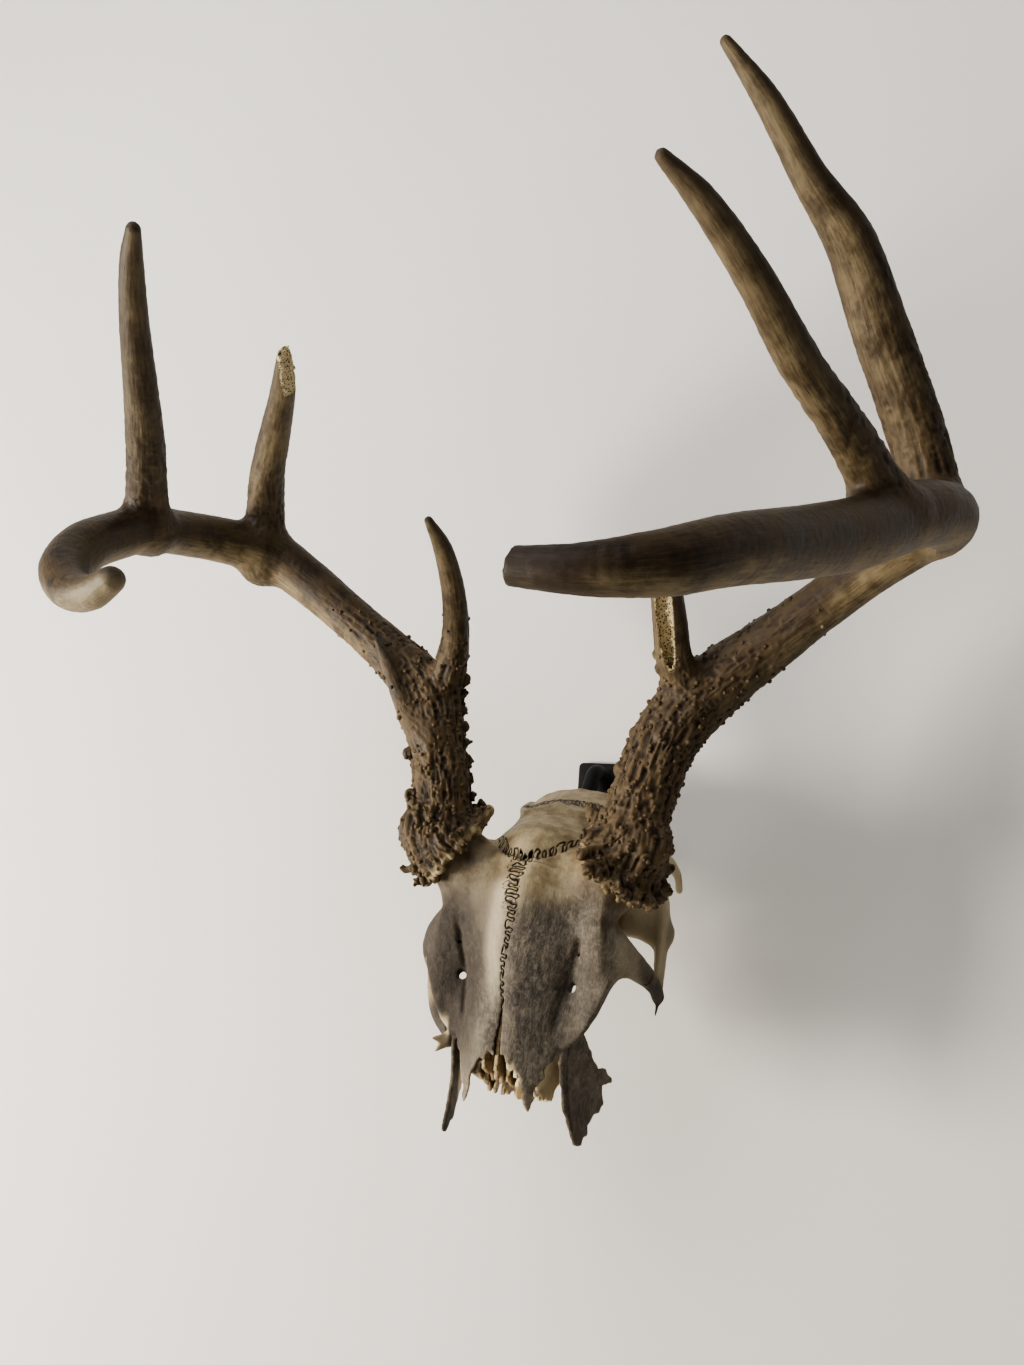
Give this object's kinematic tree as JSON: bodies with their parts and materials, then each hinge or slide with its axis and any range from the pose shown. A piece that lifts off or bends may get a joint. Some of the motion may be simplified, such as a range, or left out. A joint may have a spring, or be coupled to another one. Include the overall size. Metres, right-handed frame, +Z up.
{
  "type": "deer skull",
  "caption": "Weathered buck deer skull with branched antlers and a muzzle broken short, hung nose down on a small black steel wall bracket.",
  "frame": {"origin": "middle of the back face of the bracket's wall plate", "axes": "+X to the animal's left, +Y into the wall, +Z up"},
  "size_m": [0.4045, 0.393, 0.4431],
  "materials": {
    "bone": "dry weathered bone, cream to grey",
    "turbinate_bone": "thin stained bone inside the nose",
    "antler": "ridged brown antler with polished pale tips and undersides",
    "black_steel": "matte black paint"
  },
  "bodies": {
    "root": {"frontal_left": "bone", "frontal_right": "bone", "parietal": "bone", "occipital": "bone", "skull_base": "bone", "temporal_left": "bone", "temporal_right": "bone", "upper_jaw_left": "bone", "upper_jaw_right": "bone", "cheek_bone_right": "bone", "turbinates": "turbinate_bone", "antler_left_base": "antler", "antler_left_beam": "antler", "antler_left_bend": "antler", "antler_left_front": "antler", "antler_left_brow_tine": "antler", "antler_left_second_tine": "antler", "antler_left_third_tine": "antler", "antler_right_base": "antler", "antler_right_beam": "antler", "antler_right_bend": "antler", "antler_right_front": "antler", "antler_right_curl": "antler", "antler_right_brow_tine": "antler", "antler_right_second_tine": "antler", "antler_right_third_tine": "antler", "antler_right_sticker_tine": "antler", "bracket_plate": "black_steel", "bracket_boss": "black_steel", "bracket_hook": "black_steel", "bracket_screw_upper": "black_steel", "bracket_screw_lower": "black_steel"}
  },
  "joints": []
}
